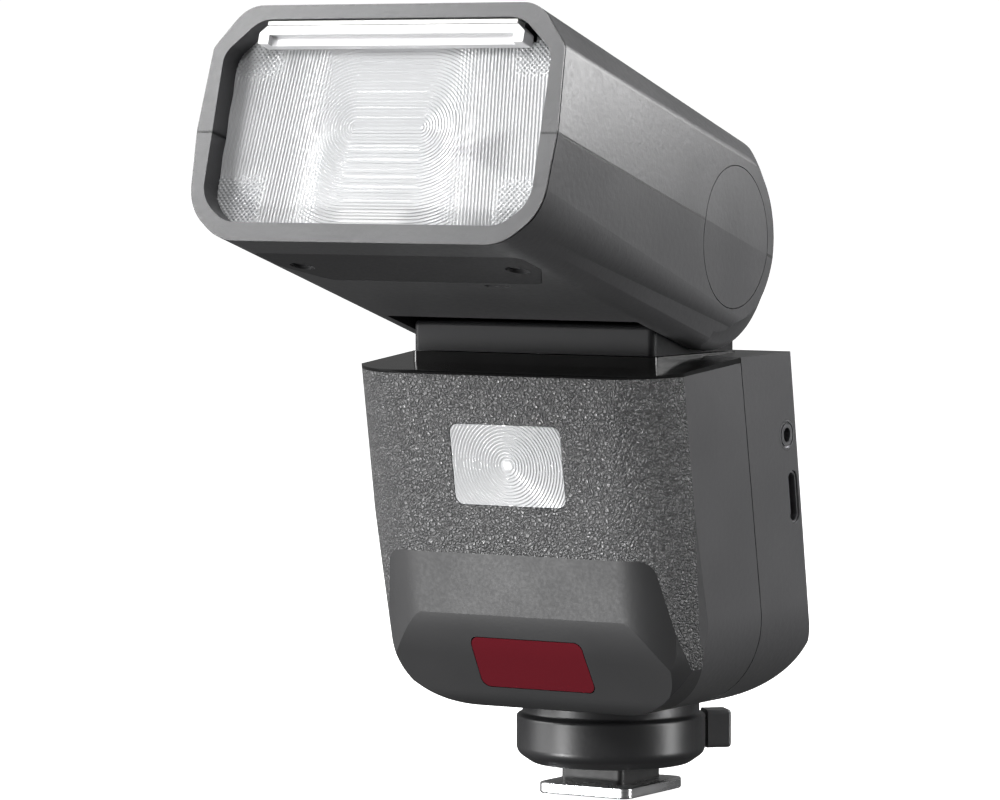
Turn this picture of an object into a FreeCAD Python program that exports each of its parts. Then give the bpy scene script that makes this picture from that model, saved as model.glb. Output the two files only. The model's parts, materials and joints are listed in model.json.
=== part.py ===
import FreeCAD, Part
import math
import os
from FreeCAD import Vector

# Speedlight flash: a camera-shoe foot, a leaning body and a tilting, swivelling flash head.
# Frame, in millimetres: origin at the centre of the shoe foot's sole, +Z up, the lamp side faces -Y,
# and the sockets are on +X. The head is posed as it is used, tilted up from the horizontal.

# ---------------------------------------------------------------- driving dimensions
FOOT_WIDTH = 18.6            # accessory-shoe plate, across the rails
FOOT_LENGTH = 20.2
FOOT_THICKNESS = 2.0
PEDESTAL_TOP = 5.2           # top of the neck that clears the shoe's rails
PEDESTAL_HALF = (6.3, 7.0)
PIN_DEPTH = 8.0              # how far the contacts reach up into the pedestal
PIN_BIG = (0.0, 0.0, 1.15)   # x, y and radius of each shoe contact
PINS_SMALL = [(-3.4, 1.8, 0.7), (3.4, 1.8, 0.7), (-1.8, 4.4, 0.7), (1.8, 4.4, 0.7)]
CONTACT_PROUD = 0.6
FOOT_SCREWS = [(-4.7, -4.4), (4.7, -4.4), (-5.0, 5.6), (5.0, 5.6)]
FOOT_SCREW_RADIUS = 0.9
LOCK_PIN = (0.0, -5.6)
LOCK_PIN_RADIUS = 0.9
CORE_RADIUS = 10.5
COLLAR_RADIUS = 16.75
COLLAR_TOP = 13.6
COLLAR_SEAT = 9.0
LEVER_ANGLE = 43.5           # where the lever's tab stands, from +X towards the rear
LEVER_TURN = 60.0

BODY_BOTTOM = 16.2
BODY_HALF_WIDTH = 32.3
BODY_CORNER = 18.0           # lower corners in the front view
CHIN_ANGLE = 31.5            # plan direction in which the lower front corners are rounded
CHIN_TOP = 52.0
CHIN_DRAFT = 1.6
CHIN_RADIUS = 14.0
BODY_WALL = 1.8
SKIN = 0.6                   # grip skin and smooth front panel
FRONT_LEAN = 9.5             # degrees from the vertical
REAR_LEAN = 8.75
FRONT_REF = (-34.66, 55.0)   # a point (y, z) of the front face
FRONT_FLAT = 20.0            # half width of the flat middle of the front face
REAR_REF = (13.2, 52.5)      # a point (y, z) of the rear face
CREST_REF = (-27.8, 55.0)    # crease where the curved front meets the flat side
CREST_TOE = -13.8            # where the crease ends at the bottom
SEAM_REF = (-7.2, 53.7)      # joint between front cover and rear shell
SEAM_SLOPE = 0.174
SEAM_GAP = 0.25
SLACK = 0.15                 # how far a form's second cutter stays outside the first
FRONT_TOP_Z = 75.75
SEAM_TOP = (-11.6, 78.2)
REAR_TOP_Z = 78.5
SOLE_PLANE = 30.5            # lean of the lower front, which holds the focus-assist window
SOLE_REF = (-27.2, 24.8)

LAMP_Z = 59.8
LAMP_HALF = (11.0, 7.1)
AF_HALF_WIDTH = 11.4
AF_Z = (20.3, 29.3)
FIT_GAP = 0.12               # around the windows let into the front
JACK_AT = (5.5, 64.0)        # y, z of the sync jack
JACK_RADIUS = 2.65
JACK_BORE = 1.25
SOCKET_DEPTH = 7.0
USB_AT = (8.05, 53.0)
USB_SIZE = (9.2, 3.2)

REAR_ORIGIN_Z = 47.0         # height of the origin of the rear controls' frame
SCREEN = (22.0, 9.0, 29.0)   # half width, low and high edge in the rear frame
MENU_X = [-16.5, -5.5, 5.5, 16.5]
MENU_Z = 4.6
DIAL_Z = -8.2
DIAL_RADIUS = 9.0
DIAL_KNURLS = 30
SET_RADIUS = 5.2
TEST_AT = (21.5, -3.0)
TEST_RADIUS = 3.2
SWITCH_AT = (-21.5, -6.0)

SWIVEL_Y = -13.0             # vertical swivel axis
SWIVEL_RADIUS = 9.0
SWIVEL_HOLE = 11.0           # in the body's top, for the bushing
NECK_BOTTOM = 78.8
NECK_SHELF = 84.0
NECK_HALF_WIDTH = 24.2
NECK_DEPTH = 28.7
NECK_CORNER = 1.2

PIVOT = Vector(0, -12.75, 98.89)
HEAD_TILT = 15.6             # degrees above the horizontal
HEAD_LENGTH = 67.4           # pivot to front face
# Right half of the head's section (x, height above the pivot's plane), each corner with its radius,
# from the top's edge round to the underside's edge: at the pivot and at the front face.
HEAD_AT_PIVOT = [(27.0, 19.6, 6.5), (31.5, 14.6, 2), (32.2, 0, 0), (31.8, -13.9, 4), (28.6, -19.5, 2.5)]
HEAD_AT_FRONT = [(28.4, 21.87, 6.5), (34.15, 14.6, 2), (35.0, 0.35, 0), (34.2, -13.2, 9), (27.4, -18.6, 9)]
BARREL = [(28.1, 19.6, 3), (31.8, 14.2, 2)]    # rear of the head about the pivot: x, radius, corner
HEAD_WALL = 1.8
DRUM_RADIUS = 16.3
DRUM_CLEARANCE = 0.5
SLOT_FRONT = 17.2            # front wall of the head's slot for the neck, ahead of the pivot
SLOT_TOP = 47.0              # degrees; how far up the rear the slot is open
CHEEK_X = 25.0               # inner face of the head's hinge cheeks
CAP_X = 29.3                 # back of the hinge caps
CAP_RADIUS = 12.2
AXLE_RADIUS = 5.0
RUNNING = 0.05               # radial clearance of a shaft in its bore

WINDOW_HALF_WIDTH = 31.9     # opening of the flash window
WINDOW_LOW = -15.45
WINDOW_HIGH = 19.45
LENS_F = (61.4, 63.6)        # back and front of the flash lens, ahead of the pivot
LENS_TOP = 16.3              # lower edge of the notch for the wide panel
NOTCH_HALF = 26.2
LIP_HALF = 25.8              # finger edge of the wide panel, which hangs in front of the lens
LIP_LOW = 15.2
LIP_F = (63.75, 66.8)
PANEL_U = (16.5, 17.7)
CARD_U = (18.45, 19.1)
CARD_HALF = 24.3
LABEL = [(-26, -59.3), (26, -59.3), (26, -51.3), (20.5, -41.8), (-20.5, -41.8), (-26, -51.3)]
LABEL_DEPTH = 0.4
HEAD_SCREWS = [(-21.1, -50.9), (21.1, -50.9)]
VENT = (8.5, 13.0, -40.5, -39.3)

TROUGH_FOCAL = 2.0           # parabola of the zoom reflector
TROUGH_F = 40.3
TROUGH_U = 2.9
TROUGH_HALF = (27.6, 11.6)
TUBE_F = 43.1
TUBE_RADIUS = 1.7
CARRIAGE_F = (39.1, 42.6)
ROD_AT = [(-24.4, -11.9), (24.4, -11.9)]
ROD_RADIUS = 0.9
SCREW_AT = (-19.0, -12.6)
SCREW_RADIUS = 1.1
HOLLOW_F = (18.8, 61.1)      # inside of the head, from behind the slot's wall to the lens

os.makedirs("parts", exist_ok=True)
BIG = 200.0


# ---------------------------------------------------------------- shape helpers
def box(x0, x1, y0, y1, z0, z1):
    return Part.makeBox(x1 - x0, y1 - y0, z1 - z0, Vector(x0, y0, z0))


def rod(radius, start, end):
    return Part.makeCylinder(radius, (end - start).Length, start, end - start)


def ring(outer, inner, start, end):
    reach = (end - start) * 0.1
    return rod(outer, start, end).cut(rod(inner, start - reach, end + reach))


def outline(points, radii, to_space):
    """Closed wire through corner points, each rounded by its radius."""
    count = len(points)
    corners = [Vector(a, b, 0) for a, b in points]
    starts = []
    ends = []
    middles = []
    for i, corner in enumerate(corners):
        before = (corners[i - 1] - corner).normalize()
        after = (corners[(i + 1) % count] - corner).normalize()
        if radii[i] == 0:
            starts.append(corner)
            ends.append(corner)
            middles.append(None)
            continue
        half = before.getAngle(after) / 2
        reach = radii[i] / math.tan(half)
        centre = corner + (before + after).normalize() * (radii[i] / math.sin(half))
        starts.append(corner + before * reach)
        ends.append(corner + after * reach)
        middles.append(centre + (corner - centre).normalize() * radii[i])
    edges = []
    for i in range(count):
        if middles[i] is not None:
            arc = Part.Arc(to_space(starts[i]), to_space(middles[i]), to_space(ends[i]))
            edges.append(arc.toShape())
        following = starts[(i + 1) % count]
        if (following - ends[i]).Length > 1e-6:
            edges.append(Part.makeLine(to_space(ends[i]), to_space(following)))
    return Part.Wire(edges)


def prism(points, radii, to_space, sweep, inset=0.0):
    wire = outline(points, radii, to_space)
    if inset:
        wire = wire.makeOffset2D(-inset)
    return Part.Face(wire).extrude(sweep)


def along_x(points, radii, x0, x1, inset=0.0):
    """Extrude an outline given as (y, z)."""
    return prism(points, radii, lambda p: Vector(x0, p.x, p.y), Vector(x1 - x0, 0, 0), inset)


def along_y(points, radii, y0, y1, inset=0.0):
    """Extrude an outline given as (x, z)."""
    return prism(points, radii, lambda p: Vector(p.x, y0, p.y), Vector(0, y1 - y0, 0), inset)


def along_z(points, radii, z0, z1, inset=0.0):
    """Extrude an outline given as (x, y)."""
    return prism(points, radii, lambda p: Vector(p.x, p.y, z0), Vector(0, 0, z1 - z0), inset)


def rectangle(half_a, low_b, high_b):
    return [(-half_a, low_b), (half_a, low_b), (half_a, high_b), (-half_a, high_b)]


def joined(shapes):
    whole = shapes[0]
    for shape in shapes[1:]:
        whole = whole.fuse(shape)
    return whole.removeSplitter()


def mirrored(shape):
    return shape.mirror(Vector(0, 0, 0), Vector(1, 0, 0))


def turned(shape, degrees, origin, about=Vector(1, 0, 0)):
    """Turn about an axis through the origin, then move the origin to its place."""
    copy = shape.copy()
    copy.rotate(Vector(0, 0, 0), about, degrees)
    copy.translate(origin)
    return copy


def line_y(reference, slope, z):
    return reference[0] - slope * (z - reference[1])


def save(name, *shapes):
    solids = [solid for shape in shapes for solid in shape.Solids]
    shape = solids[0] if len(solids) == 1 else Part.makeCompound(solids)
    for solid in solids:
        if not solid.isValid() or solid.Volume <= 0:
            print("CHECK", name, solid.isValid(), solid.Volume)
    shape.exportStep("parts/" + name + ".step")
    print("%-20s %2d solid(s) %9.1f mm3" % (name, len(solids), shape.Volume))


# ---------------------------------------------------------------- body form
FRONT_SLOPE = math.tan(math.radians(FRONT_LEAN))
REAR_SLOPE = math.tan(math.radians(REAR_LEAN))
TOE_SLOPE = math.tan(math.radians(SOLE_PLANE))


def front_y(z):
    return line_y(FRONT_REF, FRONT_SLOPE, z)


def rear_y(z):
    return line_y(REAR_REF, REAR_SLOPE, z)


def seam_y(z):
    return line_y(SEAM_REF, SEAM_SLOPE, z)


def body_profile():
    """Side view (y, z) of the body, with the radius of each corner."""
    base = BODY_BOTTOM - 0.1
    knee_z = ((FRONT_REF[0] - SLACK + FRONT_SLOPE * FRONT_REF[1])
              - (SOLE_REF[0] + TOE_SLOPE * SOLE_REF[1])) / (FRONT_SLOPE - TOE_SLOPE)
    points = [(front_y(FRONT_TOP_Z) - SLACK, FRONT_TOP_Z),
              (front_y(knee_z) - SLACK, knee_z),
              (line_y(SOLE_REF, TOE_SLOPE, base), base),
              (rear_y(base) + SLACK, base),
              (rear_y(REAR_TOP_Z) + SLACK, REAR_TOP_Z),
              SEAM_TOP]
    return points, [1.4, 30, 6, 13, 1.6, 0]


def front_plan():
    """Plan (x, y) of the curved front at the reference height: flat, then an arc to the side."""
    flat = FRONT_FLAT
    run = BODY_HALF_WIDTH - flat
    drop = CREST_REF[0] - FRONT_REF[0]
    radius = (run ** 2 + drop ** 2) / (2 * drop)
    far = BODY_HALF_WIDTH + 2.0
    far_drop = radius - math.sqrt(radius ** 2 - (far - flat) ** 2)
    mid = (flat + far) / 2
    mid_drop = radius - math.sqrt(radius ** 2 - (mid - flat) ** 2)
    z = FRONT_REF[1]

    def at(x, y):
        return Vector(x, FRONT_REF[0] + y, z)

    edges = [Part.makeLine(at(-flat, 0), at(flat, 0)),
             Part.Arc(at(flat, 0), at(mid, mid_drop), at(far, far_drop)).toShape(),
             Part.makeLine(at(far, far_drop), at(far, BIG)),
             Part.makeLine(at(far, BIG), at(-far, BIG)),
             Part.makeLine(at(-far, BIG), at(-far, far_drop)),
             Part.Arc(at(-far, far_drop), at(-mid, mid_drop), at(-flat, 0)).toShape()]
    return Part.Wire(edges)


def leaned(wire, slope, inset):
    """Extrude a plan wire up and down along a leaning axis."""
    if inset:
        wire = wire.makeOffset2D(-inset)
    reach = 80.0
    face = Part.Face(wire)
    face.translate(Vector(0, slope * reach, -reach))
    return face.extrude(Vector(0, -slope * 2 * reach, 2 * reach))


def chin(inset):
    """Prism that rounds the lower right front corner; it runs along the end of the curved front."""
    cos = math.cos(math.radians(CHIN_ANGLE))
    sin = math.sin(math.radians(CHIN_ANGLE))
    base = BODY_BOTTOM - 0.1

    def reach(z):
        return BODY_HALF_WIDTH * cos - line_y(CREST_REF, FRONT_SLOPE, z) * sin + 0.02

    points = [(-BIG, base), (reach(base) - CHIN_DRAFT, base), (reach(CHIN_TOP), CHIN_TOP),
              (reach(120) + 1, 120), (-BIG, 120)]
    start = Vector(-sin, -cos, 0) * BIG
    return prism(points, [0, CHIN_RADIUS, 0, 0, 0], lambda p: start + Vector(p.x * cos, -p.x * sin, p.y),
                 start * -2, inset)


def body_form(inset):
    """The body's outer form, or the same form with every wall moved in by inset."""
    points, radii = body_profile()
    side = along_x(points, radii, -60, 60, inset)
    front = along_y(rectangle(BODY_HALF_WIDTH, BODY_BOTTOM, 120), [BODY_CORNER, BODY_CORNER, 0, 0],
                    -90, 60, inset)
    nose = leaned(front_plan(), FRONT_SLOPE, inset)
    tail_points = rectangle(BODY_HALF_WIDTH + 0.03, -BIG, REAR_REF[0])
    tail_wire = outline(tail_points, [0, 0, 3.5, 3.5], lambda p: Vector(p.x, p.y, REAR_REF[1]))
    tail = leaned(tail_wire, REAR_SLOPE, inset)
    form = side.common(front).common(nose).common(tail)
    corner = chin(inset)
    return form.common(corner).common(mirrored(corner))


def ahead_of(reference, slope, offset=0.0, toe=None):
    """The space in front of a leaning plane, which may step back to a toe near the bottom."""
    low = line_y(reference, slope, -20) + offset
    high = line_y(reference, slope, 120) + offset
    points = [(-BIG, -20), (low, -20), (high, 120), (-BIG, 120)]
    if toe:
        step = 30.0
        knee = (line_y(reference, slope, step), step)
        points = [(-BIG, -20), (toe, -20), (toe, BODY_BOTTOM - 1), knee] + points[2:]
    return along_x(points, [0] * len(points), -60, 60)


def rear_placed(shape):
    """From the rear face's own frame (x across, y out of the face, z up the face)."""
    return turned(shape, REAR_LEAN, Vector(0, rear_y(REAR_ORIGIN_Z), REAR_ORIGIN_Z))


def front_placed(shape):
    """From the front face's own frame (x across, y into the body, z up the face)."""
    return turned(shape, FRONT_LEAN, Vector(0, front_y(LAMP_Z), LAMP_Z))


def lamp_opening(grow=0.0):
    a = LAMP_HALF[0] + grow
    b = LAMP_HALF[1] + grow
    block = along_y(rectangle(a, -b, b), [1.6] * 4, -4, 4)
    return front_placed(block)


def af_opening(grow=0.0):
    half = AF_HALF_WIDTH + grow
    low = AF_Z[0] - grow
    high = AF_Z[1] + grow
    corners = [(-half, low), (half, low), (half - 0.3, high), (-half + 0.3, high)]
    return along_y(corners, [1.5] * 4, -40, -20)


def panel_zone():
    """The smooth lower front, in the front view; the grip skin covers the rest."""
    right = [(45, 5), (45, 17.5), (30.6, 17.5), (29.6, 28), (26.4, 44.2)]
    points = right + [(-x, z) for x, z in reversed(right)]
    radii = [0, 0, 2, 6, 3]
    return along_y(points, radii + radii[::-1], -90, 60)


def top_layer():
    points, _ = body_profile()
    front_top = points[0]
    depth = 0.9
    slab = [(front_top[0] - 5, FRONT_TOP_Z - depth), (SEAM_TOP[0] + 12, SEAM_TOP[1] + 0.85 - depth),
            (SEAM_TOP[0] + 12, 90), (front_top[0] - 5, 90)]
    return along_x(slab, [0] * 4, -60, 60)


def neck_footprint(grow, z0, z1):
    half = NECK_HALF_WIDTH + grow
    return along_z(rectangle(half, SWIVEL_Y - NECK_DEPTH / 2 - grow, SWIVEL_Y + NECK_DEPTH / 2 + grow),
                   [NECK_CORNER] * 4, z0, z1)


def swivel_rod(radius, z0, z1):
    return rod(radius, Vector(0, SWIVEL_Y, z0), Vector(0, SWIVEL_Y, z1))


def build_body():
    outer = body_form(0)
    cavity = body_form(BODY_WALL)
    under_skin = body_form(SKIN)
    ahead = ahead_of(SEAM_REF, SEAM_SLOPE, -SEAM_GAP / 2)
    behind_limit = ahead_of(SEAM_REF, SEAM_SLOPE, SEAM_GAP / 2)
    crest = ahead_of(CREST_REF, FRONT_SLOPE, toe=CREST_TOE)
    bearing_hole = swivel_rod(SWIVEL_HOLE, 60, 90)
    top = top_layer()

    # front cover, with the skin and the smooth panel let into it
    layer = outer.cut(under_skin).common(crest)
    skin = layer.cut(panel_zone()).cut(top).cut(lamp_opening(FIT_GAP))
    panel = layer.common(panel_zone()).cut(af_opening(FIT_GAP))
    shell = outer.cut(cavity)
    cover = shell.common(ahead).cut(layer).cut(top).cut(bearing_hole)
    cover = cover.cut(lamp_opening(FIT_GAP)).cut(af_opening(FIT_GAP))
    collar_seat = rod(COLLAR_SEAT, Vector(0, 0, 15), Vector(0, 0, 20))
    save("body_front_cover", cover.cut(collar_seat))
    save("grip_skin", skin)
    save("front_panel", panel.cut(collar_seat))

    # glossy top with the wedge that levels the neck
    wedge = neck_footprint(0.25, SEAM_TOP[1] - 5, NECK_BOTTOM - 0.15).cut(outer)
    cap = shell.common(ahead).common(top)
    save("top_cover", joined([cap, wedge]).cut(bearing_hole))

    # rear shell with its openings
    rear = shell.cut(behind_limit).cut(bearing_hole).cut(collar_seat)
    cutters = [along_y(rectangle(SCREEN[0] + 0.1, SCREEN[1] - 0.1, SCREEN[2] + 0.1), [1.5] * 4, -5, 5)]
    cutters += [menu_key(x, -5, 5, 0.15) for x in MENU_X]
    cutters.append(rod(DIAL_RADIUS + 0.2, Vector(0, -5, DIAL_Z), Vector(0, 5, DIAL_Z)))
    x, z = TEST_AT
    cutters.append(rod(TEST_RADIUS + 0.15, Vector(x, -5, z), Vector(x, 5, z)))
    cutters.append(switch_slot())
    for cutter in cutters:
        rear = rear.cut(rear_placed(cutter))
    rear = rear.cut(jack_rod(JACK_RADIUS + RUNNING, 20, 50)).cut(usb_prism(0.1, 20, 50))
    save("body_rear_shell", rear)

    lens = outer.cut(body_form(1.6)).common(lamp_opening())
    save("lamp_lens", lens)
    save("af_window", outer.cut(body_form(1.5)).common(af_opening()))


def menu_key(x, y0, y1, grow=0.0):
    corners = [(x - 4 - grow, MENU_Z - 2 - grow), (x + 4 + grow, MENU_Z - 2 - grow),
               (x + 4 + grow, MENU_Z + 2 + grow), (x - 4 - grow, MENU_Z + 2 + grow)]
    return along_y(corners, [1.3] * 4, y0, y1)


def switch_slot():
    x, z = SWITCH_AT
    return along_y([(x - 2.2, z - 5.2), (x + 2.2, z - 5.2), (x + 2.2, z + 5.2), (x - 2.2, z + 5.2)],
                   [0.9] * 4, -5, 5)


def jack_rod(radius, x0, x1):
    return rod(radius, Vector(x0, *JACK_AT), Vector(x1, *JACK_AT))


def usb_prism(grow, x0, x1):
    half_long = USB_SIZE[0] / 2 + grow
    half_wide = USB_SIZE[1] / 2 + grow
    plug = along_x(rectangle(half_wide, -half_long, half_long), [half_wide - 0.01] * 4, x0, x1)
    return turned(plug, REAR_LEAN, Vector(0, *USB_AT))


def build_sockets():
    floor = BODY_HALF_WIDTH - SOCKET_DEPTH
    sleeve = jack_rod(JACK_RADIUS, floor, BODY_HALF_WIDTH).cut(jack_rod(JACK_BORE, floor + 0.8, 60))
    groove = ring(2.3, 2.0, Vector(BODY_HALF_WIDTH - 0.3, *JACK_AT), Vector(40, *JACK_AT))
    save("sync_jack", sleeve.cut(groove))
    shroud = usb_prism(0, floor, BODY_HALF_WIDTH - 0.3).cut(usb_prism(-0.35, floor + 1, 60))
    tongue = box(floor + 0.9, BODY_HALF_WIDTH - 1, -0.35, 0.35, -3.2, 3.2)
    tongue = turned(tongue, REAR_LEAN, Vector(0, *USB_AT))
    save("usb_socket", joined([shroud, tongue]))


def build_rear_controls():
    window = along_y(rectangle(SCREEN[0], SCREEN[1], SCREEN[2]), [1.4] * 4, -1.3, -0.1)
    save("display_window", rear_placed(window))
    save("display_module", rear_placed(box(-23, 23, -5.0, -1.9, 8.2, 29.6)))
    board = box(-24, 24, -9.2, -7.6, -14, 21)
    save("main_board", rear_placed(board))
    for number, x in enumerate(MENU_X, 1):
        key = menu_key(x, -3.6, 0.9)
        dish = rod(9.0, Vector(x, 9.6, MENU_Z - 9), Vector(x, 9.6, MENU_Z + 9))
        save("menu_button_%d" % number, rear_placed(key.cut(dish)))

    # knurled dial around the set button, on its encoder
    centre = Vector(0, 0, DIAL_Z)
    dial = ring(DIAL_RADIUS, SET_RADIUS + 0.2, centre + Vector(0, -2.6, 0), centre + Vector(0, 1.7, 0))
    for k in range(DIAL_KNURLS):
        angle = 2 * math.pi * k / DIAL_KNURLS
        at = centre + Vector(math.cos(angle), 0, math.sin(angle)) * (DIAL_RADIUS + 0.15)
        dial = dial.cut(rod(0.42, at + Vector(0, 0.15, 0), at + Vector(0, 3, 0)))
    groove = ring(7.6, 6.6, centre + Vector(0, 1.35, 0), centre + Vector(0, 3, 0))
    save("control_dial", rear_placed(dial.cut(groove)))
    cap = rod(SET_RADIUS, centre + Vector(0, -2.4, 0), centre + Vector(0, 1.5, 0))
    stem = rod(1.5, centre + Vector(0, -5.2, 0), centre + Vector(0, -2.4, 0))
    bowl = Part.makeSphere(24.0, centre + Vector(0, 25.1, 0))
    save("set_button", rear_placed(joined([cap, stem]).cut(bowl)))
    encoder = ring(8.2, 2.2, centre + Vector(0, -7.5, 0), centre + Vector(0, -3.2, 0))
    save("dial_encoder", rear_placed(encoder))

    x, z = TEST_AT
    knob = rod(TEST_RADIUS, Vector(x, -3.4, z), Vector(x, 0.9, z))
    save("test_button", rear_placed(knob))
    x, z = SWITCH_AT
    corners = [(x - 2, z - 3.0), (x + 2, z - 3.0), (x + 2, z + 1.0), (x - 2, z + 1.0)]
    slider = along_y(corners, [0.9] * 4, -2.2, 1.2)
    ribs = [box(x - 3, x + 3, 0.85, 3, z - 2.35 + k * 0.9, z - 1.95 + k * 0.9) for k in range(4)]
    for rib in ribs:
        slider = slider.cut(rib)
    plate = box(x - 3.0, x + 3.0, -3.2, -2.2, z - 4.5, z + 2.5)
    save("power_switch", rear_placed(joined([slider, plate])))


def build_body_internals():
    half = (LAMP_HALF[0] - 0.9, LAMP_HALF[1] - 0.8)

    def cup(grow, y0, y1):
        def section(y, scale):
            a = half[0] * scale + grow
            b = half[1] * scale + grow
            return outline(rectangle(a, -b, b), [1.2] * 4, lambda p: Vector(p.x, y, p.y))
        return Part.makeLoft([section(y0, 1.0), section(y1, 0.62)], True, True)

    reflector = cup(0.8, 1.75, 8.0).cut(cup(0.0, 1.7, 8.1))
    save("lamp_reflector", front_placed(reflector))
    board = box(-11, 11, 8.0, 9.2, -8, 8)
    chip = box(-2.6, 2.6, 7.2, 8.0, -2.6, 2.6)
    save("lamp_led_board", front_placed(joined([board, chip])))

    emitter = joined([box(-7, 7, 1.9, 3.1, -3.4, 3.4),
                      rod(1.6, Vector(-3.4, 1.2, 0), Vector(-3.4, 1.9, 0)),
                      rod(1.6, Vector(3.4, 1.2, 0), Vector(3.4, 1.9, 0))])
    save("af_emitter", turned(emitter, SOLE_PLANE - 1.5, Vector(0, SOLE_REF[0] + 1.6, SOLE_REF[1] + 0.9)))

    pack = along_x([(-19.5, 25), (-1.5, 25), (-1.5, 54), (-19.5, 54)], [3] * 4, -27, 27)
    save("battery_pack", pack)
    can = rod(6.0, Vector(-22, -12, 61.5), Vector(20, -12, 61.5))
    cap = rod(5.6, Vector(20, -12, 61.5), Vector(22, -12, 61.5))
    save("main_capacitor", joined([can, cap]))


# ---------------------------------------------------------------- foot, collar and shoe lock

def upright(x, y, radius, z0, z1):
    return rod(radius, Vector(x, y, z0), Vector(x, y, z1))


def build_foot():
    corners = rectangle(FOOT_WIDTH / 2, -FOOT_LENGTH / 2, FOOT_LENGTH / 2)
    plate = along_z(corners, [1.6] * 4, 0, FOOT_THICKNESS)
    rims = [edge for edge in plate.Edges if abs(edge.CenterOfMass.z - edge.BoundBox.ZMin) < 1e-6]
    plate = plate.makeChamfer(0.25, rims)
    for x, y, radius in [PIN_BIG] + PINS_SMALL:
        plate = plate.cut(upright(x, y, radius + 0.35, -1, 3))
    plate = plate.cut(upright(*LOCK_PIN, LOCK_PIN_RADIUS + RUNNING, -1, 3))
    for x, y in FOOT_SCREWS:
        plate = plate.cut(upright(x, y, FOOT_SCREW_RADIUS, -1, 3))
        plate = plate.cut(Part.makeCone(1.6, FOOT_SCREW_RADIUS, 0.9, Vector(x, y, 0), Vector(0, 0, 1)))
    save("foot_plate", plate)

    half_x, half_y = PEDESTAL_HALF
    block = along_z(rectangle(half_x, -half_y, half_y), [1.0] * 4, FOOT_THICKNESS, PEDESTAL_TOP)
    core = upright(0, 0, CORE_RADIUS, PEDESTAL_TOP, BODY_BOTTOM - 0.05)
    pedestal = joined([block, core])
    for x, y, radius in [PIN_BIG] + PINS_SMALL:
        pedestal = pedestal.cut(upright(x, y, radius + RUNNING, 1, PIN_DEPTH + 1))
    pedestal = pedestal.cut(upright(*LOCK_PIN, LOCK_PIN_RADIUS + RUNNING, 1, 11.0))
    for x, y in FOOT_SCREWS:
        pedestal = pedestal.cut(upright(x, y, FOOT_SCREW_RADIUS, 1, 13.0))
    save("foot_pedestal", pedestal)

    screws = []
    for x, y in FOOT_SCREWS:
        head = Part.makeCone(1.55, FOOT_SCREW_RADIUS, 0.85, Vector(x, y, 0.05), Vector(0, 0, 1))
        slot_a = box(x - 0.7, x + 0.7, y - 0.17, y + 0.17, -1, 0.55)
        slot_b = box(x - 0.17, x + 0.17, y - 0.7, y + 0.7, -1, 0.55)
        shank = upright(x, y, FOOT_SCREW_RADIUS - 0.02, 0.3, 12.5)
        screws.append(joined([head, shank]).cut(slot_a).cut(slot_b))
    save("foot_screws", *screws)

    pins = []
    for x, y, radius in [PIN_BIG] + PINS_SMALL:
        pin = upright(x, y, radius, -CONTACT_PROUD, PIN_DEPTH)
        rim = [e for e in pin.Edges if e.BoundBox.ZMax < -CONTACT_PROUD + 1e-6]
        pins.append(pin.makeFillet(0.3, rim))
    save("contact_pins", *pins)
    save("lock_pin", upright(*LOCK_PIN, LOCK_PIN_RADIUS, 0.3, 9.0))


def sector(angle0, angle1, radius, z0, z1):
    """Pie slice about the foot's axis."""
    steps = 6
    points = [(0.0, 0.0)]
    for k in range(steps + 1):
        angle = math.radians(angle0 + (angle1 - angle0) * k / steps)
        points.append((radius * math.cos(angle), radius * math.sin(angle)))
    return along_z(points, [0] * len(points), z0, z1)


def build_lock():
    inner = CORE_RADIUS + 0.1
    low = PEDESTAL_TOP
    profile = [(inner, low), (14.0, low), (COLLAR_RADIUS, low + 1.9), (COLLAR_RADIUS, COLLAR_TOP),
               (15.7, 14.2), (15.7, BODY_BOTTOM - 0.05), (inner, BODY_BOTTOM - 0.05), (inner, 13.0),
               (14.2, 13.0), (14.2, 7.6), (inner, 7.6)]
    radii = [0, 1.5, 2.0, 0.5, 0.4, 0, 0, 0, 0, 0, 0]
    wire = outline(profile, radii, lambda p: Vector(p.x, 0, p.y))
    collar = Part.Face(wire).revolve(Vector(0, 0, 0), Vector(0, 0, 1), 360)
    slot = sector(LEVER_ANGLE - 12, LEVER_ANGLE + LEVER_TURN + 12, 30, 8.5, 12.6)
    slot = slot.cut(upright(0, 0, 13.9, 0, 20))
    save("lock_collar", collar.cut(slot))

    hoop = ring(13.9, CORE_RADIUS + 0.1, Vector(0, 0, 7.8), Vector(0, 0, 12.8))
    stem = box(13.0, 18.2, -2.3, 2.3, 8.8, 12.3)
    tab = along_x([(-2.7, 7.3), (2.7, 7.3), (2.7, 14.1), (-2.7, 14.1)], [0.8] * 4, 17.1, 21.5)
    ends = [e for e in tab.Edges if e.BoundBox.XMin > 21.4]
    lever = joined([hoop, stem, tab.makeFillet(0.6, ends)])
    lever.rotate(Vector(0, 0, 0), Vector(0, 0, 1), LEVER_ANGLE)
    save("lock_lever", lever)


# ---------------------------------------------------------------- neck
def pivot_rod(radius, x0, x1):
    return rod(radius, Vector(x0, PIVOT.y, PIVOT.z), Vector(x1, PIVOT.y, PIVOT.z))


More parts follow.
